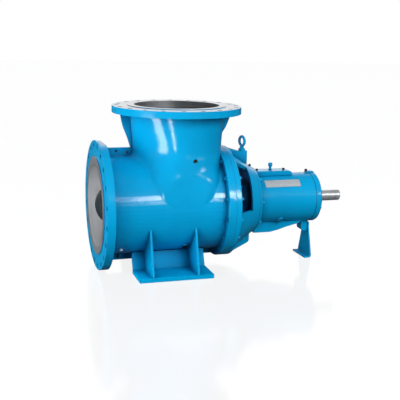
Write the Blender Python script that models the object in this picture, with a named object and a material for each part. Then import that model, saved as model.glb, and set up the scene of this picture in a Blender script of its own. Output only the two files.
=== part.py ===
"""Axial flow pump: a tee casing with an axial suction flange and a top discharge
flange, a bearing bracket on its drive side, and a propeller on a running shaft.

Lengths are metres. Every piece is modelled about the crossing of the shaft line (X)
and the discharge line (Z). Two empties carry that crossing to its height above the
floor and to its place along the pump, so that the origin is the middle of the
footprint. The drive end points along +X.
"""
import math

import bmesh
import bpy
from mathutils import Matrix, Vector

# Clearances
GAP = 0.0003
SHAFT_CLEARANCE = 0.0033
BLADE_TIP_CLEARANCE = 0.005

# Main sizes
SHAFT_HEIGHT = 0.3905
SUCTION_REACH = 0.4985
SHAFT_REACH = 1.112
DISCHARGE_HEIGHT = 0.599
CROSSING_X = (SUCTION_REACH - SHAFT_REACH) / 2

# Flanges of nominal size 600
FLANGE_R = 0.390
BOLT_CIRCLE_R = 0.3625
BOLT_COUNT = 20
BOLT_HOLE_R = 0.015
RAISED_FACE = 0.005
SUCTION_FLANGE_T = 0.0465
SUCTION_FACE_R = 0.2945
SUCTION_BORE_R = 0.249
LEVEL_FLAT_Z = 0.376
LEVEL_FLAT_LIP = 0.012
DISCHARGE_FLANGE_T = 0.041
DISCHARGE_FACE_R = 0.2975
DISCHARGE_BORE_R = 0.257

# Casing
BARREL_R = 0.298
BARREL_WALL = 0.020
THROAT_END = -0.200
REAR_FLANGE_R = 0.343
REAR_FLANGE_START = 0.238
REAR_FLANGE_END = 0.2842
RIB_DEPTH = 0.049
RIB_T = 0.016
BRANCH_OUTSIDE = [(0.290, 0.5527), (0.282, 0.470), (0.275, 0.360), (0.276, 0.300), (0.290, 0.235),
                  (0.311, 0.185), (0.324, 0.125), (0.324, 0.075), (0.314, 0.020), (0.296, -0.025),
                  (0.270, -0.060)]
BRANCH_FRONT = 0.2980
BRANCH_INSIDE = [(0.257, 0.5527), (0.257, 0.330), (0.268, 0.250), (0.276, 0.180), (0.268, 0.110)]

# Cover, seal and bearing bracket
COVER_START = 0.225
COVER_BOSS_R = 0.095
COVER_BOSS_END = 0.335
SEAL_R = 0.080
SEAL_END = 0.385
BRACKET_FLANGE_START = 0.2845
BRACKET_FLANGE_END = 0.318
BRACKET_END = 0.4802
BRACKET_END_R = 0.2130
BRACKET_OUTSIDE = [(0.323, 0.305), (0.362, 0.287), (0.400, 0.264), (0.4376, 0.238)]
BRACKET_INSIDE = [(0.462, 0.124), (0.462, 0.190), (0.434, 0.214), (0.393, 0.244), (0.324, 0.282)]
WINDOW_X = (0.333, 0.418)
WINDOW_ANGLES = (-5.0, 62.0)
INNER_COVER_START = 0.420
INNER_COVER_T = 0.013
INNER_COVER_R = 0.1235
INNER_COVER_NECK_R = 0.088
TOP_RIB_HALF = 0.023
BOTTOM_RIB_HALF = 0.040
LUG_TOP = 0.3115
LUG_END = 0.455

# Bearing housing
HOUSING_START = 0.4805
HOUSING_FLANGE_END = 0.5026
HOUSING_FLANGE_R = (0.2130, 0.199)
HOUSING_R = 0.157
HOUSING_FILLET = 0.008
HOUSING_END = 0.885
END_COVER_R = 0.160
END_COVER_END = 0.926
PAD_TOP = 0.181
PAD_HALF = 0.050
SUMP_HALF = 0.060
NAMEPLATE_X = (0.549, 0.785)
NAMEPLATE_ANGLES = (36.0, 55.0)
NAMEPLATE_T = 0.0015
BREATHER_X = 0.623
OIL_BOSS_X = 0.664
OIL_BOSS_ANGLE = -49.6
OIL_BOSS_R = 0.021
OIL_BOSS_REACH = 0.167

# Lifting eye
EYE_X = 0.4265
EYE_Z = 0.3695
EYE_RING_R = 0.0285
EYE_WIRE_R = 0.0085
EYE_TURN = 14.0

# Casing feet
FOOT_X = (-0.304, 0.144)
FOOT_OUTER = 0.368
FOOT_INNER = 0.165
FOOT_PLATE_T = 0.0245
WEB_T = 0.014
WEB_TOP = (0.136, -0.2685)
FOOT_RIB_X = (-0.222, 0.0527)
FOOT_RIB_T = 0.012
FOOT_RIB_TOP = (0.2800, -0.099)
FOOT_RIB_BOTTOM = 0.362
DRAIN_BOSS_X = 0.012
DRAIN_BOSS_ANGLE = -51.0
DRAIN_BOSS_R = 0.025
DRAIN_BOSS_REACH = 0.305

# Gauge plug on the front of the branch
GAUGE_Z = 0.294
GAUGE_SIDEWAYS = 0.148
GAUGE_REACH = 0.281
GAUGE_R = 0.0135

# Support foot under the drive end
LEG_X = 0.886
LEG_T = 0.009
LEG_TOP = -0.165
LEG_TOP_HALF = 0.042
LEG_HALF = 0.093
SOLE_START = 0.848

# Rotor
SHAFT_R = 0.0352
SHAFT_BODY_R = 0.045
SHAFT_BODY_END = 0.200
HUB_R = 0.118
HUB_NOSE = -0.4965
HUB_NOSE_LENGTH = 0.100
HUB_END = -0.2003
BLADE_COUNT = 4
BLADE_MIDDLE = -0.325
BLADE_ROOT_R = 0.1192
BLADE_T = 0.012

# How finely round pieces are divided
BIG_STEPS = 72
MID_STEPS = 48
SMALL_STEPS = 24
HOLE_STEPS = 12

BLUE = (0.0, 0.305, 0.640)
STEEL = (0.62, 0.62, 0.63)
BARE_IRON = (0.42, 0.44, 0.45)
DARK_IRON = (0.06, 0.07, 0.08)
PLATE_GREY = (0.66, 0.68, 0.70)

X_AXIS = Vector((1, 0, 0))
Z_AXIS = Vector((0, 0, 1))


def clear_scene():
    for item in list(bpy.data.objects):
        bpy.data.objects.remove(item, do_unlink=True)


def make_material(name, colour, roughness, metallic):
    material = bpy.data.materials.new(name)
    material.use_nodes = True
    shader = material.node_tree.nodes["Principled BSDF"]
    shader.inputs["Base Color"].default_value = (*colour, 1.0)
    shader.inputs["Roughness"].default_value = roughness
    shader.inputs["Metallic"].default_value = metallic
    return material


def paint(name):
    return make_material(name, BLUE, 0.30, 0.0)


def bare_steel(name):
    return make_material(name, STEEL, 0.25, 1.0)


def frame_empty(name):
    empty = bpy.data.objects.new(name, None)
    empty.location = (CROSSING_X, 0.0, SHAFT_HEIGHT)
    bpy.context.scene.collection.objects.link(empty)
    return empty


def add_object(name, bm, parent, material=None, smooth=True):
    """Close a bmesh into a named object that hangs on one of the two frames."""
    bmesh.ops.remove_doubles(bm, verts=bm.verts, dist=1e-6)
    bmesh.ops.recalc_face_normals(bm, faces=bm.faces)
    mesh = bpy.data.meshes.new(name)
    bm.to_mesh(mesh)
    bm.free()
    if smooth:
        mesh.shade_smooth()
        mesh.set_sharp_from_angle(angle=math.radians(32))
    if material:
        mesh.materials.append(material)
    item = bpy.data.objects.new(name, mesh)
    item.parent = parent
    bpy.context.scene.collection.objects.link(item)
    return item


def spin_outline(bm, outline, axis, steps):
    """Turn (along, radius) points a full circle about the shaft or discharge line."""
    if axis == X_AXIS:
        points = [Vector((along, 0, radius)) for along, radius in outline]
    else:
        points = [Vector((radius, 0, along)) for along, radius in outline]
    verts = [bm.verts.new(point) for point in points]
    pairs = list(zip(verts, verts[1:]))
    if outline[0][1] > 0 or outline[-1][1] > 0:
        pairs.append((verts[-1], verts[0]))
    edges = [bm.edges.new(pair) for pair in pairs]
    bmesh.ops.spin(bm, geom=verts + edges, cent=(0, 0, 0), axis=axis, angle=math.tau,
                   steps=steps, use_merge=True)


def turned(name, outline, axis, steps, parent, material=None):
    bm = bmesh.new()
    spin_outline(bm, outline, axis, steps)
    return add_object(name, bm, parent, material)


def extrude_outline(bm, outline, along, low, high):
    """Extrude a flat outline along x, y or z; its points are the other two axes in order."""
    place = {
        "x": lambda a, b, c: (c, a, b),
        "y": lambda a, b, c: (a, c, b),
        "z": lambda a, b, c: (a, b, c),
    }
    verts = [bm.verts.new(place[along](a, b, low)) for a, b in outline]
    face = bm.faces.new(verts)
    made = bmesh.ops.extrude_face_region(bm, geom=[face])
    moved = [part for part in made["geom"] if isinstance(part, bmesh.types.BMVert)]
    bmesh.ops.translate(bm, verts=moved, vec=Vector(place[along](0, 0, high - low)))


def prism(name, outline, along, low, high, parent, material=None, smooth=False):
    bm = bmesh.new()
    extrude_outline(bm, outline, along, low, high)
    return add_object(name, bm, parent, material, smooth)


def rod(bm, start, end, radius, steps):
    """Add a closed cylinder between two points."""
    start, end = Vector(start), Vector(end)
    turn = Z_AXIS.rotation_difference(end - start).to_matrix().to_4x4()
    place = Matrix.Translation((start + end) / 2) @ turn
    bmesh.ops.create_cone(bm, cap_ends=True, segments=steps, radius1=radius, radius2=radius,
                          depth=(end - start).length, matrix=place)


def box(bm, low, high):
    """Add a closed box between two corners."""
    low, high = Vector(low), Vector(high)
    scale = Matrix.Diagonal((*(high - low), 1.0))
    bmesh.ops.create_cube(bm, size=1.0, matrix=Matrix.Translation((low + high) / 2) @ scale)


def as_cutter(item):
    item.hide_render = True
    item.display_type = "WIRE"
    return item


def boolean(target, other, operation="DIFFERENCE"):
    modifier = target.modifiers.new(operation.lower(), "BOOLEAN")
    modifier.operation = operation
    modifier.solver = "EXACT"
    modifier.object = other


def arc(centre, radius, start, end, count):
    """Points on an arc, both ends included, with angles in degrees."""
    angles = [math.radians(start + (end - start) * i / count) for i in range(count + 1)]
    return [(centre[0] + radius * math.cos(a), centre[1] + radius * math.sin(a)) for a in angles]


def smooth_line(points, pieces):
    """A curve through the points, each stretch divided into the same number of pieces."""
    ends = [points[0], *points, points[-1]]
    line = []
    for before, start, end, after in zip(ends, ends[1:], ends[2:], ends[3:]):
        for step in range(pieces):
            t = step / pieces
            line.append(tuple(
                0.5 * (2 * b + (c - a) * t + (2 * a - 5 * b + 4 * c - d) * t * t
                       + (3 * b - a - 3 * c + d) * t ** 3)
                for a, b, c, d in zip(before, start, end, after)))
    line.append(points[-1])
    return line


def grown(outline, amount):
    """The same turned outline with every radius larger by an amount."""
    return [(along, radius + amount) for along, radius in outline]


def flipped(points):
    return [(b, a) for a, b in points]


def bolt_hole_cutter(name, axis, low, high, parent):
    bm = bmesh.new()
    for number in range(BOLT_COUNT):
        angle = math.tau * (number + 0.5) / BOLT_COUNT
        across, up = BOLT_CIRCLE_R * math.cos(angle), BOLT_CIRCLE_R * math.sin(angle)
        if axis == X_AXIS:
            rod(bm, (low, across, up), (high, across, up), BOLT_HOLE_R, HOLE_STEPS)
        else:
            rod(bm, (across, up, low), (across, up, high), BOLT_HOLE_R, HOLE_STEPS)
    return as_cutter(add_object(name, bm, parent))


def barrel_envelope(parent):
    """A drum just larger than the barrel and its rear flange, for pieces cut to sit on them."""
    step = REAR_FLANGE_START - GAP
    outline = [(-0.6, 0.0), (-0.6, BARREL_R + GAP), (step, BARREL_R + GAP), (step, REAR_FLANGE_R + GAP),
               (0.36, REAR_FLANGE_R + GAP), (0.36, 0.0)]
    return as_cutter(turned("barrel_envelope", outline, X_AXIS, BIG_STEPS, parent))


def branch_outline():
    return flipped(smooth_line(BRANCH_OUTSIDE, 2))


def branch_envelope(parent):
    """A drum just larger than the discharge branch, closed at both ends."""
    outside = grown(branch_outline(), GAP)
    outline = [(outside[0][0] + 0.05, 0.0), (outside[0][0] + 0.05, outside[0][1])]
    outline += outside + [(outside[-1][0], 0.0)]
    return as_cutter(turned("branch_envelope", outline, Z_AXIS, BIG_STEPS, parent))


def suction_flange(parent):
    face = -SUCTION_REACH
    front = face + RAISED_FACE
    back = front + SUCTION_FLANGE_T
    outline = [(face, SUCTION_BORE_R), (face, SUCTION_FACE_R), (front, SUCTION_FACE_R),
               (front, FLANGE_R), (back, FLANGE_R), (back, SUCTION_BORE_R)]
    flange = turned("suction_flange", outline, X_AXIS, BIG_STEPS, parent, paint("suction_flange_paint"))
    boolean(flange, bolt_hole_cutter("suction_bolt_holes", X_AXIS, front - 0.02, back + 0.02, parent))
    bm = bmesh.new()
    box(bm, (front + LEVEL_FLAT_LIP, -0.2, LEVEL_FLAT_Z), (back + 0.02, 0.2, FLANGE_R + 0.02))
    boolean(flange, as_cutter(add_object("level_flat_cut", bm, parent)))
    return back


def discharge_flange(parent):
    face = DISCHARGE_HEIGHT
    front = face - RAISED_FACE
    back = front - DISCHARGE_FLANGE_T
    outline = [(face, DISCHARGE_BORE_R), (face, DISCHARGE_FACE_R), (front, DISCHARGE_FACE_R),
               (front, FLANGE_R), (back, FLANGE_R), (back, DISCHARGE_BORE_R)]
    flange = turned("discharge_flange", outline, Z_AXIS, BIG_STEPS, parent, paint("discharge_flange_paint"))
    boolean(flange, bolt_hole_cutter("discharge_bolt_holes", Z_AXIS, back - 0.02, front + 0.02, parent))
    return back


def casing_barrel(start, parent):
    inner = BARREL_R - BARREL_WALL
    outline = [(start + GAP, inner), (start + GAP, BARREL_R),
               (REAR_FLANGE_START - GAP, BARREL_R), (REAR_FLANGE_START - GAP, inner)]
    barrel = turned("casing_barrel", outline, X_AXIS, BIG_STEPS, parent, paint("casing_barrel_paint"))
    chamber = [(BRANCH_INSIDE[0][1], 0.0)] + flipped(BRANCH_INSIDE) + [(BRANCH_INSIDE[-1][1], 0.0)]
    boolean(barrel, as_cutter(turned("chamber_cut", chamber, Z_AXIS, MID_STEPS, parent)))


def throat_ring(start, parent):
    outer = BARREL_R - BARREL_WALL - GAP
    outline = [(start + GAP, SUCTION_BORE_R), (start + GAP, outer), (THROAT_END - 0.02, outer),
               (THROAT_END, outer - 0.02), (THROAT_END, SUCTION_BORE_R)]
    ring = turned("throat_ring", outline, X_AXIS, BIG_STEPS, parent,
                  make_material("throat_ring_iron", BARE_IRON, 0.45, 0.6))
    return ring


def discharge_branch(top, barrel, parent):
    outside = branch_outline()
    outside[0] = (top - GAP, outside[0][1])
    inside = flipped(BRANCH_INSIDE)
    inside[0] = (top - GAP, inside[0][1])
    inside.append((outside[-1][0], inside[-1][1] - 0.01))
    branch = turned("discharge_branch", outside + inside[::-1], Z_AXIS, BIG_STEPS, parent,
                    paint("discharge_branch_paint"))
    bm = bmesh.new()
    box(bm, (-0.4, -BRANCH_FRONT, 0.0), (0.4, BRANCH_FRONT, top + 0.1))
    boolean(branch, as_cutter(add_object("branch_width", bm, parent)), "INTERSECT")
    boolean(branch, barrel)


def casing_ribs(flange_back, flange_underside, barrel, branch, parent):
    """The plates that stand on the casing in the plane of both axes."""
    rib_r = BARREL_R + RIB_DEPTH
    low = BARREL_R - 0.02
    start = flange_back + GAP
    under = flange_underside - GAP
    flare = [(-0.285, rib_r), (-0.301, 0.400), (-0.325, 0.460), (-0.336, 0.495), (-0.347, under)]
    flare = smooth_line(flare, 2)
    outline = [(start, low), (start, rib_r)] + flare + [(-0.20, under), (-0.20, low)]
    rib = prism("suction_side_rib", outline, "y", -RIB_T / 2, RIB_T / 2, parent,
                paint("suction_side_rib_paint"))
    boolean(rib, barrel)
    boolean(rib, branch)

    flare = smooth_line([(0.345, under), (0.336, 0.515), (0.312, 0.455), (0.272, 0.400)], 2)
    outline = [(0.20, 0.400), (0.20, under)] + flare
    gusset = prism("drive_side_gusset", outline, "y", -RIB_T / 2, RIB_T / 2, parent,
                   paint("drive_side_gusset_paint"))
    boolean(gusset, branch)

    outline = [(start, -low), (start, -rib_r), (REAR_FLANGE_START - GAP, -rib_r + 0.008),
               (REAR_FLANGE_START - GAP, -low)]
    rib = prism("bottom_rib", outline, "y", -RIB_T / 2, RIB_T / 2, parent, paint("bottom_rib_paint"))
    boolean(rib, barrel)


def rear_flange(parent):
    inner = BARREL_R - BARREL_WALL
    outline = [(REAR_FLANGE_START, inner), (REAR_FLANGE_START, REAR_FLANGE_R - 0.003),
               (REAR_FLANGE_START + 0.003, REAR_FLANGE_R), (REAR_FLANGE_END, REAR_FLANGE_R),
               (REAR_FLANGE_END, inner)]
    turned("rear_flange", outline, X_AXIS, BIG_STEPS, parent, paint("rear_flange_paint"))


def cover_and_seal(parent):
    bore = SHAFT_R + SHAFT_CLEARANCE
    rim = BARREL_R - BARREL_WALL - 0.0005
    outline = [(COVER_START, bore), (COVER_START, SHAFT_BODY_R + 0.04), (COVER_START, rim),
               (REAR_FLANGE_END, rim), (REAR_FLANGE_END, 0.130), (REAR_FLANGE_END + 0.02, COVER_BOSS_R),
               (COVER_BOSS_END, COVER_BOSS_R), (COVER_BOSS_END, bore)]
    turned("casing_cover", outline, X_AXIS, MID_STEPS, parent, paint("casing_cover_paint"))
    outline = [(COVER_BOSS_END + GAP, bore), (COVER_BOSS_END + GAP, SEAL_R), (SEAL_END - 0.012, SEAL_R),
               (SEAL_END - 0.012, 0.062), (SEAL_END, 0.062), (SEAL_END, bore)]
    turned("seal_gland", outline, X_AXIS, MID_STEPS, parent,
           make_material("seal_gland_iron", DARK_IRON, 0.5, 0.3))


def bracket_outline():
    return [(BRACKET_FLANGE_START, REAR_FLANGE_R), (BRACKET_FLANGE_END - 0.004, REAR_FLANGE_R),
            (BRACKET_FLANGE_END, REAR_FLANGE_R - 0.004),
            (BRACKET_FLANGE_END, BRACKET_OUTSIDE[0][1] + 0.004), *BRACKET_OUTSIDE,
            (BRACKET_END, BRACKET_END_R)]


def window_cutter(side, parent):
    """A wedge that opens one side of the bracket, from inside to past its skin."""
    near, far = 0.12, 0.45
    low, high = (math.radians(angle) for angle in WINDOW_ANGLES)
    corners = [(near, low), (far, low), (far, high), (near, high)]
    outline = [(side * r * math.cos(a), r * math.sin(a)) for r, a in corners]
    return as_cutter(prism(f"window_cut_{'near' if side < 0 else 'far'}", outline, "x", *WINDOW_X, parent))


def bearing_bracket(parent):
    """The bell between the casing and the bearing housing, open at its two sides."""
    outline = bracket_outline() + [(BRACKET_END, BRACKET_INSIDE[0][1]), *BRACKET_INSIDE,
                                   (BRACKET_FLANGE_START, BRACKET_INSIDE[-1][1])]
    bracket = turned("bearing_bracket", outline, X_AXIS, BIG_STEPS, parent, paint("bearing_bracket_paint"))
    for side in (-1, 1):
        boolean(bracket, window_cutter(side, parent))

    cone = grown(bracket_outline(), GAP)[3:]
    cone = [(cone[0][0] - 0.05, cone[0][1])] + cone
    outline = [(cone[0][0], 0.0)] + cone + [(cone[-1][0], 0.0)]
    envelope = as_cutter(turned("bracket_envelope", outline, X_AXIS, BIG_STEPS, parent))
    start = BRACKET_FLANGE_END + GAP
    outline = [(start, 0.336), (0.360, 0.321), (0.395, LUG_TOP), (LUG_END, LUG_TOP), (LUG_END, 0.225),
               (start, 0.280)]
    rib = prism("bracket_lifting_lug", outline, "y", -TOP_RIB_HALF, TOP_RIB_HALF, parent,
                paint("bracket_lifting_lug_paint"))
    boolean(rib, envelope)
    end = BRACKET_END
    edge = [(start, -0.338), (0.371, -0.326)] + arc((end - 0.022, -0.258), 0.022, -62, 0, 4)
    rib = prism("bracket_bottom_rib", edge + [(end, -0.190), (start, -0.270)], "y",
                -BOTTOM_RIB_HALF, BOTTOM_RIB_HALF, parent, paint("bracket_bottom_rib_paint"))
    boolean(rib, envelope)

    bore = SHAFT_R + SHAFT_CLEARANCE
    back = INNER_COVER_START + INNER_COVER_T
    seat = BRACKET_INSIDE[0][0] - GAP
    outline = [(INNER_COVER_START, bore), (INNER_COVER_START, INNER_COVER_R - 0.003),
               (INNER_COVER_START + 0.003, INNER_COVER_R), (back, INNER_COVER_R),
               (back, INNER_COVER_NECK_R), (seat, INNER_COVER_NECK_R), (seat, INNER_COVER_R),
               (BRACKET_END, INNER_COVER_R), (BRACKET_END, bore)]
    turned("inner_bearing_cover", outline, X_AXIS, MID_STEPS, parent, paint("inner_bearing_cover_paint"))


def lifting_eye(parent):
    """A ring on a collar, cut from one forging and screwed into the lug."""
    base = LUG_TOP + GAP
    eye = turned("lifting_eye", [(base, 0.0), (base, 0.021), (base + 0.010, 0.021),
                                 (base + 0.014, 0.015), (EYE_Z - EYE_RING_R, 0.0095),
                                 (EYE_Z - EYE_RING_R, 0.0)],
                 Z_AXIS, SMALL_STEPS, parent, paint("lifting_eye_paint"))
    ring = turned("eye_ring", arc((0.0, EYE_RING_R), EYE_WIRE_R, 0, 324, 9), X_AXIS, SMALL_STEPS, parent)
    ring.rotation_euler = (0, 0, math.radians(EYE_TURN))
    ring.location = (EYE_X, 0, EYE_Z)
    eye.location = (EYE_X, 0, 0)
    boolean(eye, as_cutter(ring), "UNION")


def housing_envelope(parent):
    """A drum just larger than the bearing housing and its end cover."""
    line = [(HOUSING_START, HOUSING_R + HOUSING_FILLET), (HOUSING_FLANGE_END, HOUSING_R + HOUSING_FILLET),
            (HOUSING_FLANGE_END + HOUSING_FILLET, HOUSING_R), (HOUSING_END, HOUSING_R),
            (HOUSING_END, END_COVER_R), (END_COVER_END + 0.01, END_COVER_R)]
    line = grown(line, GAP)
    outline = [(line[0][0], 0.0)] + line + [(line[-1][0], 0.0)]
    return as_cutter(turned("housing_envelope", outline, X_AXIS, BIG_STEPS, parent))


def bearing_housing(parent):
    bore = SHAFT_R + SHAFT_CLEARANCE
    outline = [(HOUSING_START, bore), (HOUSING_START, HOUSING_FLANGE_R[0]),
               (HOUSING_FLANGE_END, HOUSING_FLANGE_R[1]), (HOUSING_FLANGE_END, HOUSING_R + HOUSING_FILLET),
               (HOUSING_FLANGE_END + HOUSING_FILLET, HOUSING_R), (HOUSING_END, HOUSING_R),
               (HOUSING_END, bore)]
    turned("bearing_housing", outline, X_AXIS, BIG_STEPS, parent, paint("bearing_housing_paint"))
    outline = [(HOUSING_END + GAP, bore), (HOUSING_END + GAP, END_COVER_R),
               (END_COVER_END - 0.012, END_COVER_R), (END_COVER_END - 0.004, END_COVER_R - 0.004),
               (END_COVER_END, END_COVER_R - 0.012), (END_COVER_END, bore)]
    turned("bearing_end_cover", outline, X_AXIS, BIG_STEPS, parent, paint("bearing_end_cover_paint"))


def housing_fittings(parent):
    """What stands on the bearing housing: pad, breather, sump, plate and bosses."""
    housing = housing_envelope(parent)
    start = HOUSING_FLANGE_END + GAP
    outline = [(start, 0.130), (start, 0.186), (0.535, PAD_TOP), (0.733, PAD_TOP), (0.750, 0.174),
               (0.757, 0.160), (0.757, 0.130)]
    pad = prism("housing_top_pad", outline, "y", -PAD_HALF, PAD_HALF, parent,
                paint("housing_top_pad_paint"))
    boolean(pad, housing)

    outline = [(start, -0.12), (start, -0.212), (0.615, -0.212), (0.670, -0.200), (0.723, -0.184),
               (0.812, -0.163), (0.835, -0.150), (0.835, -0.12)]
    sump = prism("housing_sump", outline, "y", -SUMP_HALF, SUMP_HALF, parent, paint("housing_sump_paint"))
    boolean(sump, housing)

    outline = [(0.868, 0.13), (0.868, 0.160), (0.876, 0.1665), (0.914, 0.1665), (0.922, 0.160),
               (0.922, 0.13)]
    boss = prism("end_cover_boss", outline, "y", -0.020, 0.020, parent, paint("end_cover_boss_paint"))
    boolean(boss, housing)

    base = PAD_TOP + GAP
    outline = [(base, 0.0), (base, 0.011), (base + 0.006, 0.011), (base + 0.008, 0.008),
               (base + 0.020, 0.008), (base + 0.024, 0.0135), (base + 0.040, 0.0135),
               (base + 0.046, 0.009), (base + 0.047, 0.0)]
    breather = turned("breather", outline, Z_AXIS, SMALL_STEPS, parent, paint("breather_paint"))
    breather.location = (BREATHER_X, 0, 0)

    low, high = (180.0 - angle for angle in NAMEPLATE_ANGLES)
    outline = arc((0, 0), HOUSING_R + GAP + 0.0004, low, high, 6)
    outline += arc((0, 0), HOUSING_R + GAP + 0.0004 + NAMEPLATE_T, high, low, 6)
    prism("nameplate", outline, "x", *NAMEPLATE_X, parent,
          make_material("nameplate_metal", PLATE_GREY, 0.4, 0.7), True)

    angle = math.radians(OIL_BOSS_ANGLE)
    outward = Vector((0, -math.cos(angle), math.sin(angle)))
    bm = bmesh.new()
    middle = Vector((OIL_BOSS_X, 0, 0))
    rod(bm, middle + outward * 0.13, middle + outward * OIL_BOSS_REACH, OIL_BOSS_R, SMALL_STEPS)
    boss = add_object("oil_level_boss", bm, parent, paint("oil_level_boss_paint"))
    boolean(boss, housing)

    corner = arc((0.862, -0.202), 0.020, 180, 270, 4)
    outline = [(0.842, -0.12)] + corner + [(LEG_X - GAP, -0.222), (LEG_X - GAP, -0.12)]
    lug = prism("support_lug", outline, "y", -0.036, 0.036, parent, paint("support_lug_paint"))
    boolean(lug, housing)


def support_foot(parent):
    """A bent plate: a leg that widens downwards, and a sole turned towards the casing."""
    floor = -SHAFT_HEIGHT
    outer, inner = LEG_T + 0.006, 0.006
    bend = (LEG_X - inner, floor + outer)
    outline = [(LEG_X + LEG_T, LEG_TOP), (LEG_X, LEG_TOP)]
    outline += arc(bend, inner, 0, -90, 4)
    outline += [(SOLE_START, floor + LEG_T), (SOLE_START, floor)]
    outline += arc(bend, outer, -90, 0, 5)
    foot = prism("support_foot", outline, "y", -LEG_HALF, LEG_HALF, parent, paint("support_foot_paint"))
    for side in (-1, 1):
        word = "near" if side < 0 else "far"
        outline = [(side * LEG_TOP_HALF, LEG_TOP + 0.02), (side * 0.3, LEG_TOP + 0.02),
                   (side * 0.3, floor + 0.022), (side * LEG_HALF, floor + 0.022),
                   (side * LEG_TOP_HALF, LEG_TOP - 0.03)]
        cut = prism(f"leg_taper_{word}", outline, "x", LEG_X - 0.02, LEG_X + 0.03, parent)
        boolean(foot, as_cutter(cut))


def casing_foot(side, barrel, parent):
    """One of the two casing feet: a plate, a leaning web and two cross ribs."""
    word = "near" if side < 0 else "far"
    floor = -SHAFT_HEIGHT
    deck = floor + FOOT_PLATE_T
    bm = bmesh.new()
    box(bm, (FOOT_X[0], side * FOOT_OUTER, floor), (FOOT_X[1], side * FOOT_INNER, deck))
    add_object(f"foot_plate_{word}", bm, parent, paint(f"foot_plate_{word}_paint"), False)

    foot_y = FOOT_INNER + WEB_T
    top_y, top_z = WEB_TOP
    outline = [(side * foot_y, deck + GAP), (side * FOOT_INNER, deck + GAP),
               (side * (top_y - WEB_T), top_z), (side * top_y, top_z)]
    web = prism(f"foot_web_{word}", outline, "x", *FOOT_X, parent, paint(f"foot_web_{word}_paint"))
    boolean(web, barrel)

    lean = 2 * GAP
    outline = [(side * FOOT_RIB_TOP[0], FOOT_RIB_TOP[1]), (side * FOOT_RIB_BOTTOM, deck + GAP),
               (side * (foot_y + lean), deck + GAP), (side * (top_y + lean), top_z),
               (side * (top_y + lean), top_z + 0.03), (side * 0.22, FOOT_RIB_TOP[1])]
    for number, place in enumerate(FOOT_RIB_X, start=1):
        name = f"foot_rib_{word}_{number}"
        rib = prism(name, outline, "x", place - FOOT_RIB_T / 2, place + FOOT_RIB_T / 2, parent,
                    paint(f"{name}_paint"))
        boolean(rib, barrel)


def small_bosses(barrel, branch, parent):
    angle = math.radians(DRAIN_BOSS_ANGLE)
    outward = Vector((0, -math.cos(angle), math.sin(angle)))
    middle = Vector((DRAIN_BOSS_X, 0, 0))
    bm = bmesh.new()
    rod(bm, middle + outward * 0.28, middle + outward * DRAIN_BOSS_REACH, DRAIN_BOSS_R, SMALL_STEPS)
    boss = add_object("drain_boss", bm, parent, paint("drain_boss_paint"))
    boolean(boss, barrel)

    outward = Vector((GAUGE_SIDEWAYS, -1, 0)).normalized()
    bm = bmesh.new()
    middle = Vector((0, 0, GAUGE_Z))
    rod(bm, middle + outward * 0.25, middle + outward * GAUGE_REACH, GAUGE_R, SMALL_STEPS)
    plug = add_object("gauge_plug", bm, parent, make_material("gauge_plug_iron", DARK_IRON, 0.5, 0.4))
    boolean(plug, branch)


def shaft(parent):
    outline = [(HUB_END + GAP, 0.0), (HUB_END + GAP, SHAFT_BODY_R), (SHAFT_BODY_END, SHAFT_BODY_R),
               (SHAFT_BODY_END + 0.006, SHAFT_R), (SHAFT_REACH - 0.003, SHAFT_R),
               (SHAFT_REACH, SHAFT_R - 0.003), (SHAFT_REACH, 0.0)]
    turned("shaft", outline, X_AXIS, MID_STEPS, parent, bare_steel("shaft_steel"))


def impeller_hub(parent):
    shoulder = HUB_NOSE + HUB_NOSE_LENGTH
    nose = [(shoulder - HUB_NOSE_LENGTH * math.cos(a), HUB_R * math.sin(a))
            for a in (math.radians(90 * step / 8) for step in range(9))]
    outline = nose + [(HUB_END - 0.070, HUB_R), (HUB_END - 0.030, 0.092), (HUB_END, 0.060), (HUB_END, 0.0)]
    turned("impeller_hub", outline, X_AXIS, MID_STEPS, parent,
           make_material("impeller_hub_iron", DARK_IRON, 0.45, 0.5))


def blade_point(radius, along, through):
    """A point of a blade, in cylinder coordinates, then turned into x, y and z.

    The blade leans more steeply at the hub than at its tip. along runs from -1 to 1
    over the chord and through from -1 to 1 over the thickness.
    """
    tip_r = SUCTION_BORE_R - BLADE_TIP_CLEARANCE
    share = (radius - BLADE_ROOT_R) / (tip_r - BLADE_ROOT_R)
    lean = math.radians(48 - 24 * share)
    half_chord = 0.068 + 0.040 * share
    half_thick = BLADE_T / 2 * (1 - 0.45 * share) * math.sqrt(max(0.0, 1 - 0.9 * along * along))
    axial = half_chord * along * math.sin(lean) + half_thick * through * math.cos(lean)
    around = half_chord * along * math.cos(lean) - half_thick * through * math.sin(lean)
    angle = around / radius
    return Vector((BLADE_MIDDLE + axial, radius * math.cos(angle), radius * math.sin(angle)))


def impeller_blades(parent):
    radial_steps, chord_steps = 4, 8
    tip_r = SUCTION_BORE_R - BLADE_TIP_CLEARANCE
    for number in range(BLADE_COUNT):
        turn = Matrix.Rotation(math.tau * (number + 0.5) / BLADE_COUNT, 3, "X")
        bm = bmesh.new()
        rings = []
        for i in range(radial_steps + 1):
            radius = BLADE_ROOT_R + (tip_r - BLADE_ROOT_R) * i / radial_steps
            stations = [2 * j / chord_steps - 1 for j in range(chord_steps + 1)]
            loop = [(s, 1) for s in stations] + [(s, -1) for s in reversed(stations)]
            rings.append([bm.verts.new(turn @ blade_point(radius, s, side)) for s, side in loop])
        for lower, upper in zip(rings, rings[1:]):
            for k in range(len(lower)):
                after = (k + 1) % len(lower)
                bm.faces.new((lower[k], lower[after], upper[after], upper[k]))
        for ring in (rings[0], rings[-1]):
            for k in range(chord_steps):
                bm.faces.new((ring[k], ring[k + 1], ring[-2 - k], ring[-1 - k]))
        add_object(f"impeller_blade_{number + 1}", bm, parent,
                   make_material(f"impeller_blade_{number + 1}_iron", BARE_IRON, 0.4, 0.7))


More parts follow.
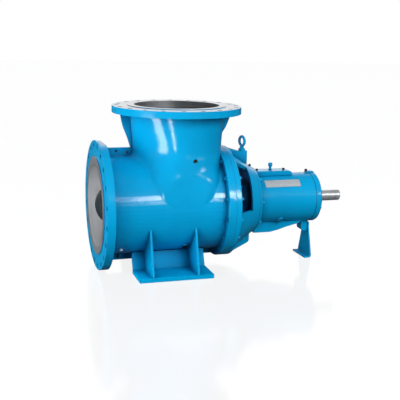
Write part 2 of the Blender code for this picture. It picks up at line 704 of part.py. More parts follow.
def build_pump():
    clear_scene()
    fixed = frame_empty("pump_frame")
    rotor = frame_empty("rotor_axis")
    barrel = barrel_envelope(fixed)
    branch = branch_envelope(fixed)
    suction_back = suction_flange(fixed)
    discharge_back = discharge_flange(fixed)
    casing_barrel(suction_back, fixed)
    throat_ring(suction_back, fixed)
    discharge_branch(discharge_back, barrel, fixed)
    casing_ribs(suction_back, discharge_back, barrel, branch, fixed)
    rear_flange(fixed)
    cover_and_seal(fixed)
    bearing_bracket(fixed)
    lifting_eye(fixed)
    bearing_housing(fixed)
    housing_fittings(fixed)
    support_foot(fixed)
    for side in (-1, 1):
        casing_foot(side, barrel, fixed)
    small_bosses(barrel, branch, fixed)
    shaft(rotor)
    impeller_hub(rotor)
    impeller_blades(rotor)


build_pump()
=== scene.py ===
"""Axial flow pump: finishes, fasteners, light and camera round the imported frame."""
import math

import bmesh
import bpy
from mathutils import Matrix, Vector


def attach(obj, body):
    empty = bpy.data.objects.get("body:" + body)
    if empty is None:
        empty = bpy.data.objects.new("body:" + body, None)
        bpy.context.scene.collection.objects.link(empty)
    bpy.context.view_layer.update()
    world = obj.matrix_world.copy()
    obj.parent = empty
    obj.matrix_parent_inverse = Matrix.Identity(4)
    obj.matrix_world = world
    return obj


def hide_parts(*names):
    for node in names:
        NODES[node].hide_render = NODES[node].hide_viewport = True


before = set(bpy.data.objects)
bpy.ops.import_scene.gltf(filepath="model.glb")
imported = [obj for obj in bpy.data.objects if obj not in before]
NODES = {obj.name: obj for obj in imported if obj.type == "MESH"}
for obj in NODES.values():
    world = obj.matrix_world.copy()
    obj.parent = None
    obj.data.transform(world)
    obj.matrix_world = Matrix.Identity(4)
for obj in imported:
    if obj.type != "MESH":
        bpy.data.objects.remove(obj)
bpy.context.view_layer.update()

# Where the shaft line and the discharge line cross, in the row frame
CROSS = Vector((-0.30675, 0.0, 0.3905))

# Colours of the finishes
AZURE = (0.0002, 0.365, 0.700)
AZURE_DEEP = (0.0002, 0.315, 0.620)
# Painted shade: the colour the paint goes to in corners and where faces meet
AZURE_CORNER_SHADE = (0.0001, 0.095, 0.235)
# Painted light: the lighter paint for nuts and screws
AZURE_LIT = (0.03, 0.50, 0.85)
# Painted shade: the darkest tone of the shaded paint
NAVY_SHADE = (0.003, 0.030, 0.085)
IRON_LIGHT = (0.42, 0.42, 0.43)
IRON_DARK = (0.33, 0.33, 0.34)
NOSE_GREY = (0.012, 0.022, 0.028)
STEEL_LIGHT = (0.86, 0.86, 0.86)
STEEL_DULL = (0.70, 0.70, 0.70)
SILVER = (0.52, 0.57, 0.60)
SILVER_DULL = (0.40, 0.44, 0.47)
BLACK_OXIDE = (0.012, 0.014, 0.017)

# The branch's outside and bore, as (radius, height) about the crossing
BRANCH_TOP = 0.5527
BRANCH_LINE = [(0.290, 0.5527), (0.282, 0.470), (0.2755, 0.385), (0.2755, 0.332), (0.2810, 0.302),
               (0.290, 0.235), (0.311, 0.185), (0.324, 0.125), (0.324, 0.075), (0.314, 0.020),
               (0.296, -0.025)]
BRANCH_BORE = [(0.257, 0.5527), (0.254, 0.470), (0.240, 0.400), (0.238, 0.330), (0.248, 0.250),
               (0.262, 0.180), (0.262, 0.110)]
BRANCH_FRONT = [(0.320, 0.5527), (0.305, 0.400), (0.2900, 0.320), (0.2850, 0.286), (0.2855, 0.235),
                (0.2890, 0.180), (0.2955, 0.080), (0.2978, 0.000), (0.2978, -0.030)]
BRANCH_STEPS = 144
BARREL_R = 0.298
PINCH = 0.095
WASHER_T = 0.0022
FILLET_SMALL = 0.006
FILLET_LARGE = 0.040

# The room: dim below, brighter above, white behind the pump
ROOM_LOW = (0.025, 0.04, 0.05, 1.0)
ROOM_HIGH = (0.09, 0.11, 0.12, 1.0)
ROOM_BACK = (1.25, 1.25, 1.25, 1.0)
FLOOR_GLOW = 0.97
FLOOR_MIRROR = 0.12

# The photograph's camera
CAMERA_PLACE = Vector((-1.60025, -4.6351, 1.4366))
CAMERA_YAW = 17.4174
CAMERA_PITCH = 12.1119
CAMERA_ROLL = 1.2532
CAMERA_LENS = 71.684


class Shade:
    """A small helper that adds nodes to one material and links them."""

    def __init__(self, name):
        self.material = bpy.data.materials.new(name)
        self.material.use_nodes = True
        self.tree = self.material.node_tree
        self.shader = self.tree.nodes["Principled BSDF"]

    def node(self, kind, **values):
        made = self.tree.nodes.new(kind)
        for key, value in values.items():
            setattr(made, key, value)
        return made

    def link(self, start, end):
        self.tree.links.new(start, end)

    def coordinates(self, stretch=(1, 1, 1)):
        source = self.node("ShaderNodeTexCoord")
        mapping = self.node("ShaderNodeMapping")
        mapping.inputs["Scale"].default_value = stretch
        self.link(source.outputs["Object"], mapping.inputs["Vector"])
        return mapping.outputs["Vector"]

    def noise(self, where, scale, detail=4.0, roughness=0.5):
        noise = self.node("ShaderNodeTexNoise")
        noise.inputs["Scale"].default_value = scale
        noise.inputs["Detail"].default_value = detail
        noise.inputs["Roughness"].default_value = roughness
        self.link(where, noise.inputs["Vector"])
        return noise.outputs["Fac"]

    def ramp(self, factor, low, high, start=0.3, end=0.7):
        ramp = self.node("ShaderNodeValToRGB")
        ramp.color_ramp.elements[0].position = start
        ramp.color_ramp.elements[0].color = (*low, 1.0)
        ramp.color_ramp.elements[1].position = end
        ramp.color_ramp.elements[1].color = (*high, 1.0)
        self.link(factor, ramp.inputs["Fac"])
        return ramp.outputs["Color"]

    def spread(self, factor, low, high, start=0.3, end=0.7):
        spread = self.node("ShaderNodeMapRange")
        spread.inputs["From Min"].default_value = start
        spread.inputs["From Max"].default_value = end
        spread.inputs["To Min"].default_value = low
        spread.inputs["To Max"].default_value = high
        self.link(factor, spread.inputs["Value"])
        return spread.outputs["Result"]

    def sum(self, first, second):
        node = self.node("ShaderNodeMath", operation="ADD")
        self.link(first, node.inputs[0])
        self.link(second, node.inputs[1])
        return node.outputs["Value"]

    def painted_corner_shade(self, colour, deep, reach):
        """Painted shade where faces meet: ambient occlusion takes the colour towards deep in the corners.
        """
        closed = self.node("ShaderNodeAmbientOcclusion", samples=6)
        closed.inputs["Distance"].default_value = reach
        mix = self.node("ShaderNodeMix", data_type="RGBA")
        self.link(self.spread(closed.outputs["AO"], 0.0, 1.0, 0.35, 0.92), mix.inputs["Factor"])
        mix.inputs[6].default_value = (*deep, 1.0)
        self.link(colour, mix.inputs[7])
        return mix.outputs[2]

    def bump(self, height, distance, strength=1.0, before=None):
        bump = self.node("ShaderNodeBump")
        bump.inputs["Distance"].default_value = distance
        bump.inputs["Strength"].default_value = strength
        self.link(height, bump.inputs["Height"])
        if before:
            self.link(before, bump.inputs["Normal"])
        return bump.outputs["Normal"]


def paint_material(name, light, dark, cast_depth, peel_depth, gloss):
    """Glossy machine paint over a casting or over plate."""
    shade = Shade(name)
    where = shade.coordinates()
    cloudy = shade.noise(where, 3.5, 3.0)
    colour = shade.ramp(cloudy, dark, light, 0.20, 0.62)
    # Painted shade: ambient occlusion darkens the paint in corners and where faces meet
    shade.link(shade.painted_corner_shade(colour, AZURE_CORNER_SHADE, 0.075), shade.shader.inputs["Base Color"])
    fine = shade.noise(where, 60.0, 3.0)
    shade.link(shade.spread(fine, 0.42, 0.55), shade.shader.inputs["Roughness"])
    cast = shade.bump(shade.noise(where, 95.0, 5.0, 0.55), cast_depth)
    peel = shade.bump(shade.noise(where, 22.0, 2.0), peel_depth, 1.0, cast)
    shade.link(peel, shade.shader.inputs["Normal"])
    shade.link(peel, shade.shader.inputs["Coat Normal"])
    shade.shader.inputs["Specular IOR Level"].default_value = 0.04
    shade.shader.inputs["Coat Weight"].default_value = gloss
    shade.shader.inputs["Coat Roughness"].default_value = 0.07
    shade.shader.inputs["Coat IOR"].default_value = 1.5
    return shade.material


def cast_paint():
    return paint_material("azure_cast_paint", AZURE, AZURE_DEEP, 0.0006, 0.0008, 0.80)


def plate_paint():
    return paint_material("azure_plate_paint", AZURE, AZURE_DEEP, 0.0003, 0.0004, 0.0)


# Painted shade: a darker copy of the azure paint, for parts that sit in shade inside the bracket and behind
# the rear flange
def shaded_paint():
    return paint_material("azure_shaded_paint", AZURE_DEEP, NAVY_SHADE, 0.0012, 0.0010, 0.40)


def turned_metal(name, light, dark, axis, metallic, roughness):
    """Machined iron or steel whose tool marks run round an axis."""
    shade = Shade(name)
    stretch = {"x": (260.0, 1.5, 1.5), "z": (1.5, 1.5, 260.0)}[axis]
    rings = shade.noise(shade.coordinates(stretch), 1.0, 3.0)
    cloudy = shade.noise(shade.coordinates(), 7.0, 4.0)
    shade.link(shade.ramp(shade.sum(rings, cloudy), dark, light, 0.75, 1.25),
               shade.shader.inputs["Base Color"])
    shade.link(shade.spread(cloudy, roughness, roughness + 0.18), shade.shader.inputs["Roughness"])
    shade.link(shade.bump(rings, 0.0001), shade.shader.inputs["Normal"])
    shade.shader.inputs["Metallic"].default_value = metallic
    return shade.material


def faced_metal(name, light, dark, axis, metallic, roughness):
    """A machined flange face with fine rings about the bore."""
    shade = Shade(name)
    wave = shade.node("ShaderNodeTexWave", wave_type="RINGS", rings_direction=axis)
    wave.inputs["Scale"].default_value = 90.0
    wave.inputs["Distortion"].default_value = 0.6
    source = shade.node("ShaderNodeTexCoord")
    middle = shade.node("ShaderNodeVectorMath", operation="SUBTRACT")
    middle.inputs[1].default_value = CROSS
    shade.link(source.outputs["Object"], middle.inputs[0])
    shade.link(middle.outputs["Vector"], wave.inputs["Vector"])
    cloudy = shade.noise(shade.coordinates(), 9.0, 4.0)
    shade.link(shade.ramp(cloudy, dark, light), shade.shader.inputs["Base Color"])
    shade.link(shade.spread(cloudy, roughness, roughness + 0.15), shade.shader.inputs["Roughness"])
    shade.link(shade.bump(wave.outputs["Fac"], 0.0002), shade.shader.inputs["Normal"])
    shade.shader.inputs["Metallic"].default_value = metallic
    return shade.material


def rough_metal(name, light, dark, scale, depth, metallic, roughness):
    """Unpainted casting or oxide black hardware."""
    shade = Shade(name)
    where = shade.coordinates()
    grain = shade.noise(where, scale, 5.0, 0.6)
    shade.link(shade.ramp(grain, dark, light), shade.shader.inputs["Base Color"])
    shade.link(shade.spread(grain, roughness, roughness + 0.2), shade.shader.inputs["Roughness"])
    shade.link(shade.bump(grain, depth), shade.shader.inputs["Normal"])
    shade.shader.inputs["Metallic"].default_value = metallic
    return shade.material


def brushed_plate():
    """The bare nameplate: silver foil with a fine crosswise brushing."""
    shade = Shade("nameplate_foil")
    streaks = shade.noise(shade.coordinates((14.0, 900.0, 900.0)), 1.0, 3.0)
    cloudy = shade.noise(shade.coordinates(), 30.0, 3.0)
    shade.link(shade.ramp(shade.sum(streaks, cloudy), SILVER_DULL, SILVER, 0.7, 1.3),
               shade.shader.inputs["Base Color"])
    shade.link(shade.spread(streaks, 0.45, 0.60), shade.shader.inputs["Roughness"])
    shade.link(shade.bump(streaks, 0.0001), shade.shader.inputs["Normal"])
    shade.shader.inputs["Metallic"].default_value = 0.3
    return shade.material


PAINT = cast_paint()
PLATE_PAINT = plate_paint()
SHADED_PAINT = shaded_paint()
BORE_X = turned_metal("machined_bore_x", (0.58, 0.59, 0.61), (0.46, 0.47, 0.49), "x", 0.25, 0.45)
# Painted shade: the discharge bore metal is a darker copy of the suction bore metal, for the shade inside
# the branch
BORE_Z_SHADED = turned_metal("machined_bore_z_shaded", (0.20, 0.20, 0.21), (0.13, 0.14, 0.15), "z", 0.5, 0.42)
FACE_X = faced_metal("machined_face_x", (0.46, 0.47, 0.48), (0.34, 0.35, 0.36), "X", 0.75, 0.34)
# Painted light: the upward flange face metal is a lighter copy of the machined face metal, for the light
# falling from above
FACE_Z_LIT = faced_metal("machined_face_z_lit", (0.80, 0.81, 0.82), (0.70, 0.71, 0.72), "Z", 0.75, 0.34)
NOSE = rough_metal("nose_iron", NOSE_GREY, (0.012, 0.019, 0.024), 40.0, 0.0004, 0.2, 0.5)
BLADES = rough_metal("blade_iron", IRON_LIGHT, IRON_DARK, 55.0, 0.0003, 0.8, 0.32)
SHAFT_STEEL = turned_metal("ground_shaft", STEEL_LIGHT, STEEL_DULL, "x", 0.7, 0.24)
BLACK = rough_metal("black_oxide", BLACK_OXIDE, (0.004, 0.005, 0.006), 300.0, 0.0001, 0.5, 0.35)
SEAL_IRON = rough_metal("seal_iron", (0.05, 0.07, 0.09), (0.02, 0.03, 0.04), 120.0, 0.0003, 0.4, 0.45)
FOIL = brushed_plate()
# Painted light: a lighter copy of the azure paint, so that the nuts and screws read as lit spots
LIT_NUT_PAINT = paint_material("azure_lit_nut_paint", AZURE_LIT, AZURE, 0.0002, 0.0002, 0.60)


def soften(node, width, segments=2, angle=32):
    """Weld a node's split vertices and round its sharp edges a little."""
    item = NODES[node]
    weld = item.modifiers.new("weld", "WELD")
    weld.merge_threshold = 0.00002
    bevel = item.modifiers.new("edge", "BEVEL")
    bevel.width = width
    bevel.segments = segments
    bevel.limit_method = "ANGLE"
    bevel.angle_limit = math.radians(angle)
    bevel.use_clamp_overlap = True
    bevel.harden_normals = False
    smooth = item.modifiers.new("smooth", "WEIGHTED_NORMAL")
    smooth.keep_sharp = False
    for face in item.data.polygons:
        face.use_smooth = True


def dress(node, *materials):
    """Give a node its materials; the first covers every face until told otherwise."""
    data = NODES[node].data
    data.materials.clear()
    for material in materials:
        data.materials.append(material)
    for face in data.polygons:
        face.material_index = 0


def paint_faces(node, index, test):
    """Give a material to the faces whose middle and normal, about the crossing, pass a test."""
    for face in NODES[node].data.polygons:
        if test(face.center - CROSS, face.normal):
            face.material_index = index


def radius_x(point):
    return math.hypot(point.y, point.z)


def radius_z(point):
    return math.hypot(point.x, point.y)


def dress_casing():
    """Blue outside, machined faces and bores."""
    dress("suction_flange", PAINT, FACE_X, BORE_X)
    paint_faces("suction_flange", 1, lambda p, n: n.x < -0.9 and radius_x(p) < 0.2945 and p.x < -0.496)
    paint_faces("suction_flange", 2, lambda p, n: radius_x(p) < 0.251)
    dress("discharge_flange", PAINT, FACE_Z_LIT, BORE_Z_SHADED)
    # The upward faces take the lighter copy of the machined face metal: painted light
    paint_faces("discharge_flange", 1, lambda p, n: n.z > 0.9)
    # The bore takes the darker copy of the bore metal: painted shade
    paint_faces("discharge_flange", 2, lambda p, n: radius_z(p) < 0.259)
    dress("throat_ring", BORE_X)
    dress("casing_barrel", PAINT, BORE_X)
    paint_faces("casing_barrel", 1, lambda p, n: radius_x(p) < 0.285)
    # The branch bore takes the darker copy of the bore metal: painted shade
    dress("discharge_branch", PAINT, BORE_Z_SHADED)
    paint_faces("discharge_branch", 1, lambda p, n: n.x * p.x + n.y * p.y < -0.02 and radius_z(p) < 0.285)
    for node in ("rear_flange", "casing_cover", "bearing_bracket", "bracket_lifting_lug",
                 "bracket_bottom_rib", "bearing_housing", "bearing_end_cover", "housing_top_pad",
                 "housing_sump",
                 "end_cover_boss", "oil_level_boss", "support_lug", "drain_boss", "breather", "lifting_eye",
                 "suction_side_rib", "drive_side_gusset", "bottom_rib"):
        dress(node, PAINT)
    # The inner bearing cover takes the darker copy of the paint: painted shade
    dress("inner_bearing_cover", SHADED_PAINT)
    dress("seal_gland", SEAL_IRON)


def dress_feet():
    for node in NODES:
        if node.startswith("foot_") or node == "support_foot":
            dress(node, PLATE_PAINT)
            soften(node, 0.0015)


def dress_rotor():
    dress("shaft", SHAFT_STEEL)
    dress("impeller_hub", NOSE)
    for number in range(1, 5):
        dress(f"impeller_blade_{number}", BLADES)


def dress_small_parts():
    dress("nameplate", FOIL)
    dress("gauge_plug", BLACK)


def round_edges():
    for node in ("suction_flange", "discharge_flange"):
        soften(node, 0.0020)
    for node in ("rear_flange", "bearing_bracket", "bearing_housing", "bearing_end_cover"):
        soften(node, 0.0022)
    for node in ("suction_side_rib", "drive_side_gusset", "bottom_rib"):
        soften(node, 0.0025)
    for node in ("bracket_lifting_lug", "bracket_bottom_rib", "housing_top_pad", "housing_sump",
                 "end_cover_boss", "support_lug", "oil_level_boss", "drain_boss"):
        soften(node, 0.0030)


def add_piece(name, bm, material, body="pump_body", smooth=True, angle=30):
    bmesh.ops.recalc_face_normals(bm, faces=bm.faces)
    mesh = bpy.data.meshes.new(name)
    bm.to_mesh(mesh)
    bm.free()
    mesh.materials.append(material)
    if smooth:
        mesh.shade_smooth()
        mesh.set_sharp_from_angle(angle=math.radians(angle))
    piece = bpy.data.objects.new(name, mesh)
    bpy.context.scene.collection.objects.link(piece)
    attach(piece, body)
    return piece


def turned_form(bm, outline, place, turn, steps):
    """Turn (radius, height) points about Z, then put them in place."""
    verts = [bm.verts.new(Vector((radius, 0.0, height))) for radius, height in outline]
    edges = [bm.edges.new(pair) for pair in zip(verts, verts[1:])]
    before = set(bm.verts) - set(verts)
    bmesh.ops.spin(bm, geom=verts + edges, cent=(0, 0, 0), axis=(0, 0, 1), angle=math.tau, steps=steps,
                   use_merge=True)
    made = [vert for vert in bm.verts if vert not in before]
    bmesh.ops.remove_doubles(bm, verts=made, dist=1e-6)
    made = [vert for vert in bm.verts if vert not in before]
    bmesh.ops.transform(bm, matrix=Matrix.Translation(place) @ turn, verts=made)


def facing(direction):
    return Vector((0, 0, 1)).rotation_difference(Vector(direction).normalized()).to_matrix().to_4x4()


def hexagon(bm, place, turn, across, height, chamfer):
    """A hexagon head or nut with its corners turned off."""
    corner = across / math.sqrt(3)
    levels = [(0.0, corner), (height - chamfer, corner), (height, corner - chamfer * 1.6)]
    rings = []
    for level, radius in levels:
        rings.append([bm.verts.new(Vector((radius * math.cos(a), radius * math.sin(a), level)))
                      for a in (math.tau * k / 6 for k in range(6))])
    for lower, upper in zip(rings, rings[1:]):
        for k in range(6):
            bm.faces.new((lower[k], lower[(k + 1) % 6], upper[(k + 1) % 6], upper[k]))
    bm.faces.new(rings[0][::-1])
    bm.faces.new(rings[-1])
    bmesh.ops.transform(bm, matrix=Matrix.Translation(place) @ turn,
                        verts=[vert for ring in rings for vert in ring])


def hex_bolts(name, places, direction, across, height, material):
    """Hexagon heads, each on its washer."""
    bm = bmesh.new()
    turn = facing(direction)
    step = Vector(direction).normalized()
    for place in places:
        base = CROSS + Vector(place)
        washer = across * 0.62
        line = [(0.0, 0.0), (washer, 0.0), (washer, WASHER_T * 0.7), (washer - 0.0008, WASHER_T),
                (0.0, WASHER_T)]
        turned_form(bm, line, base, turn, 20)
        hexagon(bm, base + step * WASHER_T, turn, across, height, 0.0016)
    return add_piece(name, bm, material)


def soft_least(first, second, softness):
    """The smaller of two lengths, rounded where they cross."""
    share = min(1.0, max(0.0, 0.5 + 0.5 * (second - first) / softness))
    return second + (first - second) * share - softness * share * (1.0 - share)


def ease(value, start, end):
    share = min(1.0, max(0.0, (value - start) / (end - start)))
    return share * share * (3.0 - 2.0 * share)


def curve_radius(height, line):
    """Radius at a height on a line of (radius, height) points that runs downwards, smoothly."""
    spots = [line[0], *line, line[-1]]
    for before, start, end, after in zip(spots, spots[1:], spots[2:], spots[3:]):
        if end[1] <= height <= start[1] and start[1] > end[1]:
            t = (start[1] - height) / (start[1] - end[1])
            a, b, c, d = before[0], start[0], end[0], after[0]
            return 0.5 * (2 * b + (c - a) * t + (2 * a - 5 * b + 4 * c - d) * t * t
                          + (3 * b - a - 3 * c + d) * t ** 3)
    return line[0][0] if height > line[0][1] else line[-1][0]


def branch_skin_point(turn, height):
    """The branch's outside: round at the flange, pinched at its four corners at the waist,
    and level with the barrel at the front. Turn is the angle from +X."""
    radius = curve_radius(height, BRANCH_LINE)
    pinch = PINCH * ease(height, 0.185, 0.32) * (1.0 - ease(height, 0.33, 0.545))
    leftward = 0.5 - 0.5 * math.cos(turn)
    radius *= 1.0 - pinch * leftward * math.sin(2 * turn) ** 2
    x, y = radius * math.cos(turn), radius * math.sin(turn)
    widest = curve_radius(height, BRANCH_FRONT)
    return Vector((x, math.copysign(soft_least(abs(y), widest, 0.012), y), height))


def barrel_height(point):
    return math.sqrt(max(0.0, BARREL_R ** 2 - point.y ** 2))


def branch_column(turn, rows, foot_rows):
    """One column of the skin, from the flange down to the barrel, with a cast fillet at its foot."""
    low, high = -0.02, BRANCH_TOP
    for _ in range(30):
        middle = (low + high) / 2
        point = branch_skin_point(turn, middle)
        if abs(point.y) < BARREL_R and middle < barrel_height(point):
            low = middle
        else:
            high = middle
    crease = high
    fillet = FILLET_SMALL + (FILLET_LARGE - FILLET_SMALL) * ease(-math.cos(turn), 0.70, 0.98)
    start = min(crease + fillet, BRANCH_TOP)
    heights = [BRANCH_TOP + (start - BRANCH_TOP) * k / rows for k in range(rows + 1)]
    column = [branch_skin_point(turn, height) for height in heights]
    outward = Vector((math.cos(turn), math.sin(turn), 0.0))
    corner = branch_skin_point(turn, crease)
    foot = corner + outward * fillet
    if abs(foot.y) > BARREL_R * 0.9999:
        foot = corner + Vector((outward.x * fillet, 0.0, 0.0))
    foot.z = barrel_height(foot) - 0.0005
    if abs(corner.y) > BARREL_R * math.cos(math.radians(24)):
        side = math.asin(min(1.0, corner.z / BARREL_R)) - fillet / BARREL_R
        outside = math.copysign(BARREL_R * math.cos(side), corner.y)
        foot = Vector((corner.x, outside, BARREL_R * math.sin(side)))
    for k in range(1, foot_rows + 1):
        t = k / foot_rows
        column.append(column[rows] * (1 - t) ** 2 + corner * 2 * t * (1 - t) + foot * t * t)
    return column


def branch_casting():
    """The branch as cast: its outside runs into the barrel, and its bore is machined."""
    bm = bmesh.new()
    columns = []
    for step in range(BRANCH_STEPS):
        turn = math.tau * step / BRANCH_STEPS
        column = [Vector((r * math.cos(turn), r * math.sin(turn), z)) for r, z in BRANCH_BORE[::-1]]
        bore_rows = len(column)
        column += branch_column(turn, 30, 6)
        columns.append([bm.verts.new(CROSS + point) for point in column])
    for near, far in zip(columns, columns[1:] + columns[:1]):
        for k in range(len(near) - 1):
            face = bm.faces.new((near[k], far[k], far[k + 1], near[k + 1]))
            face.material_index = 1 if k < bore_rows - 1 else 0
    piece = add_piece("branch_casting", bm, PAINT, angle=50)
    # The bore faces take the darker copy of the bore metal: painted shade
    piece.data.materials.append(BORE_Z_SHADED)
    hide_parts("discharge_branch")


def round_in_x(along, radius, angles):
    """Places on a circle about the shaft line; 0 degrees is towards the camera, 90 is up."""
    turns = [math.radians(angle) for angle in angles]
    return [(along, -radius * math.cos(turn), radius * math.sin(turn)) for turn in turns]


def bracket_fasteners():
    """Nuts and screws of the casing, the bracket flange, the housing flange and the inner cover."""
    # The nuts and screws take the lighter copy of the paint: painted light
    around = [12.4 + 22.5 * k for k in range(16)]
    hex_bolts("bracket_flange_nuts", round_in_x(0.3182, 0.324, around), (1, 0, 0), 0.019, 0.010, LIT_NUT_PAINT)
    around = [a for a in around if not 60 < a < 120]
    # The casing bolt heads take the darker copy of the paint: painted shade
    hex_bolts("casing_bolt_heads", round_in_x(0.2378, 0.321, around), (-1, 0, 0), 0.019, 0.009, SHADED_PAINT)
    around = [4 + 45 * k for k in range(8)]
    hex_bolts("housing_flange_screws", round_in_x(0.5028, 0.184, around), (1, 0, 0), 0.019, 0.013,
              LIT_NUT_PAINT)
    around = [11 + 45 * k for k in range(8)]
    hex_bolts("inner_cover_screws", round_in_x(0.4198, 0.105, around), (-1, 0, 0), 0.014, 0.009, LIT_NUT_PAINT)
    hex_bolts("end_cover_screws", round_in_x(0.9262, 0.135, [22.5 + 45 * k for k in range(8)]), (1, 0, 0),
              0.013, 0.006, LIT_NUT_PAINT)


def socket_screw(bm, place, direction, radius, height):
    """A round head with a hexagon socket, as one turned form with a sunk middle."""
    line = [(0.0, height * 0.35), (radius * 0.50, height * 0.40), (radius * 0.56, height * 0.96),
            (radius * 0.92, height), (radius, height * 0.88), (radius, 0.0)]
    turned_form(bm, line, CROSS + Vector(place), facing(direction), 24)


def black_screws():
    """Oxide black screws on the housing's top pad, the end cover, the bracket and the ribs."""
    bm = bmesh.new()
    socket_screw(bm, (0.714, 0.0, 0.181), (0, 0, 1), 0.008, 0.009)
    socket_screw(bm, (0.532, 0.0, 0.181), (0, 0, 1), 0.008, 0.009)
    socket_screw(bm, (0.727, 0.0, 0.169), (1, 0, 0), 0.008, 0.007)
    socket_screw(bm, (0.872, 0.0, 0.166), (0, 0, 1), 0.009, 0.012)
    socket_screw(bm, (0.470, -0.030, 0.217), (0.45, -0.1, 1), 0.008, 0.010)
    for x, z in ((-0.372, 0.3263), (-0.3054, 0.3187)):
        socket_screw(bm, (x, -0.0081, z), (0, -1, 0), 0.0065, 0.003)
    socket_screw(bm, (-0.3626, -0.0081, -0.3255), (0, -1, 0), 0.009, 0.003)
    socket_screw(bm, (0.8845, -0.028, -0.155), (-1, 0, 0), 0.009, 0.007)
    add_piece("black_screws", bm, BLACK)


def barrel_plugs():
    """The drain plug low on the barrel, and the bright plug beside the suction flange."""
    bm = bmesh.new()
    low = math.radians(-51)
    out = Vector((0.0, -math.cos(low), math.sin(low)))
    socket_screw(bm, Vector((0.012, 0.0, 0.0)) + out * 0.3052, out, 0.0195, 0.004)
    add_piece("drain_plug", bm, BLACK)
    bm = bmesh.new()
    side = Vector((0.0, -0.1829, -0.2353)).normalized()
    socket_screw(bm, Vector((-0.377, 0.0, 0.0)) + side * 0.2978, side, 0.011, 0.006)
    add_piece("vent_plug", bm, SHAFT_STEEL)


def gasket(name, start, end, inner, outer):
    """A thin dark ring in the groove between two flanges."""
    bm = bmesh.new()
    line = [(inner, 0.0), (outer, 0.0), (outer, end - start), (inner, end - start), (inner, 0.0)]
    turned_form(bm, line, CROSS + Vector((start, 0, 0)), facing((1, 0, 0)), 96)
    add_piece(name, bm, BLACK)


def joint_lines():
    """The dark lines of the joints round the shaft line."""
    gasket("casing_gasket", 0.2836, 0.2851, 0.3405, 0.3424)
    gasket("housing_gasket", 0.4796, 0.4811, 0.2105, 0.2124)
    gasket("end_cover_gasket", 0.8843, 0.8858, 0.1545, 0.1574)


def weld_bead(bm, start, end, size):
    """A round weld bead, slightly uneven, along a joint from start to end."""
    first, last = CROSS + Vector(start), CROSS + Vector(end)
    along = (last - first).normalized()
    side = along.cross(Vector((0, 1, 0.2))).normalized()
    over = along.cross(side).normalized()
    steps = 14
    rings = []
    for k in range(steps + 1):
        middle = first.lerp(last, k / steps)
        swell = size * (1.0 + 0.10 * math.sin(2.3 * k))
        rings.append([bm.verts.new(middle + (side * math.cos(a) + over * math.sin(a)) * swell)
                      for a in (math.tau * j / 8 for j in range(8))])
    for near, far in zip(rings, rings[1:]):
        for j in range(8):
            bm.faces.new((near[j], near[(j + 1) % 8], far[(j + 1) % 8], far[j]))
    bm.faces.new(rings[0][::-1])
    bm.faces.new(rings[-1])


def foot_welds():
    """Beads where the foot webs and ribs stand on their plates and meet each other."""
    bm = bmesh.new()
    for side in (-1, 1):
        web = side * 0.179
        weld_bead(bm, (-0.300, web + side * 0.007, -0.3655), (0.140, web + side * 0.007, -0.3655), 0.0035)
        for x in (-0.222, 0.0527):
            for beside in (-0.0062, 0.0062):
                weld_bead(bm, (x + beside, web + side * 0.010, -0.3655),
                          (x + beside, side * 0.355, -0.3655), 0.0032)
    add_piece("foot_welds", bm, PAINT)


def look_direction():
    yaw, pitch = math.radians(CAMERA_YAW), math.radians(CAMERA_PITCH)
    return Vector((math.sin(yaw) * math.cos(pitch), math.cos(yaw) * math.cos(pitch), -math.sin(pitch)))


def add_camera():
    """The camera at the photograph's place, with its small roll."""
    yaw, roll = math.radians(CAMERA_YAW), math.radians(CAMERA_ROLL)
    forward = look_direction()
    level = Vector((math.cos(yaw), -math.sin(yaw), 0.0))
    above = level.cross(forward)
    across = math.cos(roll) * level + math.sin(roll) * above
    upward = -math.sin(roll) * level + math.cos(roll) * above
    data = bpy.data.cameras.new("photo_camera")
    data.lens = CAMERA_LENS
    data.sensor_width = 36.0
    data.clip_end = 100.0
    camera = bpy.data.objects.new("photo_camera", data)
    columns = zip(across, upward, -forward, CAMERA_PLACE)
    camera.matrix_world = Matrix([*(tuple(row) for row in columns), (0, 0, 0, 1)])
    bpy.context.scene.collection.objects.link(camera)
    bpy.context.scene.camera = camera


def floor_material():
    """White, with a weak blurred mirror image of what stands on it."""
    shade = Shade("pale_floor")
    shade.tree.nodes.remove(shade.shader)
    soft = shade.noise(shade.coordinates(), 1.5, 2.0)
    diffuse = shade.node("ShaderNodeBsdfDiffuse")
    shade.link(shade.ramp(soft, (0.055, 0.055, 0.057), (0.065, 0.065, 0.067)), diffuse.inputs["Color"])
    glow = shade.node("ShaderNodeEmission")
    glow.inputs["Color"].default_value = (1.0, 1.0, 1.0, 1.0)
    glow.inputs["Strength"].default_value = FLOOR_GLOW
    body = shade.node("ShaderNodeAddShader")
    shade.link(diffuse.outputs["BSDF"], body.inputs[0])
    shade.link(glow.outputs["Emission"], body.inputs[1])
    mirror = shade.node("ShaderNodeBsdfAnisotropic")
    mirror.inputs["Roughness"].default_value = 0.12
    mixed = shade.node("ShaderNodeMixShader")
    mixed.inputs["Fac"].default_value = FLOOR_MIRROR
    shade.link(body.outputs["Shader"], mixed.inputs[1])
    shade.link(mirror.outputs["BSDF"], mixed.inputs[2])
    shade.link(mixed.outputs["Shader"], shade.tree.nodes["Material Output"].inputs["Surface"])
    return shade.material


def add_floor():
    """A level floor that the camera sees, but that throws no light back on the pump."""
    bm = bmesh.new()
    bmesh.ops.create_grid(bm, x_segments=8, y_segments=8, size=30.0)
    mesh = bpy.data.meshes.new("floor")
    bm.to_mesh(mesh)
    bm.free()
    mesh.materials.append(floor_material())
    floor = bpy.data.objects.new("floor", mesh)
    bpy.context.scene.collection.objects.link(floor)
    floor.visible_diffuse = False
    floor.visible_glossy = False
    floor.visible_shadow = False


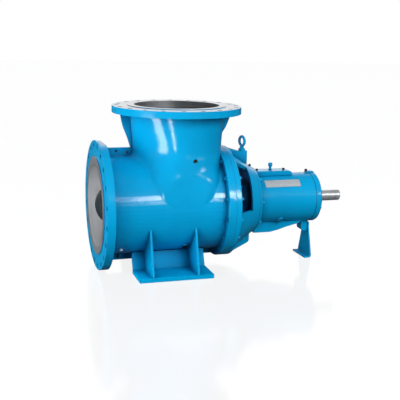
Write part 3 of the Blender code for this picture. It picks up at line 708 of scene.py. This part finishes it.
def soft_box(name, aim, azimuth, elevation, distance, width, height, power, work):
    """A rectangular light seen from aim at an azimuth (0 is -Y, 90 is +X) and an elevation.
    Its work is to show mirrored in the gloss, or to light the matte colour."""
    turn, lift = math.radians(azimuth), math.radians(elevation)
    away = Vector((math.sin(turn) * math.cos(lift), -math.cos(turn) * math.cos(lift), math.sin(lift)))
    data = bpy.data.lights.new(name, "AREA")
    data.shape = "RECTANGLE"
    data.size = width
    data.size_y = height
    data.energy = power
    light = bpy.data.objects.new(name, data)
    light.location = Vector(aim) + away * distance
    light.rotation_euler = away.to_track_quat("Z", "Y").to_euler()
    light.visible_camera = False
    light.visible_glossy = work == "mirrored"
    light.visible_diffuse = work == "matte"
    bpy.context.scene.collection.objects.link(light)


def add_lights():
    barrel = CROSS + Vector((-0.2, -0.28, 0.09))
    branch = CROSS + Vector((-0.1, -0.25, 0.42))
    drive = CROSS + Vector((0.5, 0.0, 0.0))
    suction = CROSS + Vector((-0.45, 0.0, 0.0))
    soft_box("front_strip", barrel, 22, 19, 3.3, 1.1, 0.75, 44, "mirrored")
    soft_box("left_strip", branch, -66, -20, 3.0, 1.0, 1.6, 56, "mirrored")
    soft_box("centre_strip", branch, -30, -18, 3.6, 0.36, 1.0, 19, "mirrored")
    soft_box("right_strip", branch, 54, 10, 3.8, 1.4, 0.35, 14, "mirrored")
    soft_box("key_box", CROSS, 22, 26, 4.5, 3.0, 2.0, 152, "matte")
    soft_box("left_box", drive, -52, 4, 6.0, 2.4, 2.0, 110, "matte")
    soft_box("top_box", CROSS, 10, 75, 3.6, 3.0, 2.4, 20, "matte")
    soft_box("bore_box", suction, -72, 6, 2.0, 1.0, 1.0, 40, "matte")


def blend_colours(tree, factor, first, second):
    mix = tree.nodes.new("ShaderNodeMix")
    mix.data_type = "RGBA"
    tree.links.new(factor, mix.inputs["Factor"])
    for value, place in ((first, 6), (second, 7)):
        if isinstance(value, tuple):
            mix.inputs[place].default_value = value
        else:
            tree.links.new(value, mix.inputs[place])
    return mix.outputs[2]


def world_share(tree, split, axis, start, end):
    """How far a direction has gone along an axis, from 0 at start to 1 at end."""
    spread = tree.nodes.new("ShaderNodeMapRange")
    spread.interpolation_type = "SMOOTHSTEP"
    spread.inputs["From Min"].default_value = start
    spread.inputs["From Max"].default_value = end
    tree.links.new(split.outputs[axis], spread.inputs["Value"])
    return spread.outputs["Result"]


def add_world():
    """A dim room with a white wall behind the pump; the camera sees white everywhere."""
    world = bpy.data.worlds.new("studio")
    bpy.context.scene.world = world
    world.use_nodes = True
    tree = world.node_tree
    tree.nodes.clear()
    output = tree.nodes.new("ShaderNodeOutputWorld")
    source = tree.nodes.new("ShaderNodeTexCoord")
    split = tree.nodes.new("ShaderNodeSeparateXYZ")
    tree.links.new(source.outputs["Generated"], split.inputs["Vector"])
    above = blend_colours(tree, world_share(tree, split, "Z", -0.3, 0.8), ROOM_LOW, ROOM_HIGH)
    wall = tree.nodes.new("ShaderNodeMath")
    wall.operation = "MULTIPLY"
    tree.links.new(world_share(tree, split, "Y", 0.45, 0.80), wall.inputs[0])
    tree.links.new(world_share(tree, split, "Z", -0.06, 0.04), wall.inputs[1])
    room = blend_colours(tree, wall.outputs["Value"], above, ROOM_BACK)
    around = tree.nodes.new("ShaderNodeBackground")
    tree.links.new(room, around.inputs["Color"])
    seen = tree.nodes.new("ShaderNodeBackground")
    seen.inputs["Color"].default_value = (1, 1, 1, 1)
    path = tree.nodes.new("ShaderNodeLightPath")
    mix = tree.nodes.new("ShaderNodeMixShader")
    tree.links.new(path.outputs["Is Camera Ray"], mix.inputs["Fac"])
    tree.links.new(around.outputs["Background"], mix.inputs[1])
    tree.links.new(seen.outputs["Background"], mix.inputs[2])
    tree.links.new(mix.outputs["Shader"], output.inputs["Surface"])
    bpy.context.scene.view_settings.view_transform = "Standard"


dress_casing()
dress_feet()
dress_rotor()
dress_small_parts()
round_edges()
branch_casting()
bracket_fasteners()
black_screws()
barrel_plugs()
joint_lines()
foot_welds()
add_camera()
add_floor()
add_lights()
add_world()
